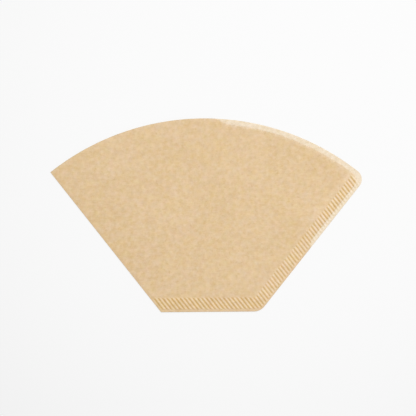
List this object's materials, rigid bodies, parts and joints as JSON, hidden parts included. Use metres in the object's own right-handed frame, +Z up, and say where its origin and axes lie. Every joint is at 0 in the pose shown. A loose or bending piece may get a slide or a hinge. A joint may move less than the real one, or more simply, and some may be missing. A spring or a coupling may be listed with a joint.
{
  "type": "coffee filter",
  "caption": "Flat-folded paper coffee filter: a two-ply cone pocket with a curved open mouth, one folded side and crimped seams along its base and other side.",
  "frame": {"origin": "middle of the filter's outline, on the surface it lies on", "axes": "+X along the straight crimped base, from the folded side to the crimped side; +Y from the base to the open mouth; +Z up, away from the surface"},
  "size_m": [0.1568, 0.0974, 0.0009],
  "materials": {
    "paper": "matt, unbleached"
  },
  "bodies": {
    "root": {"filter_paper": "paper"}
  },
  "joints": []
}
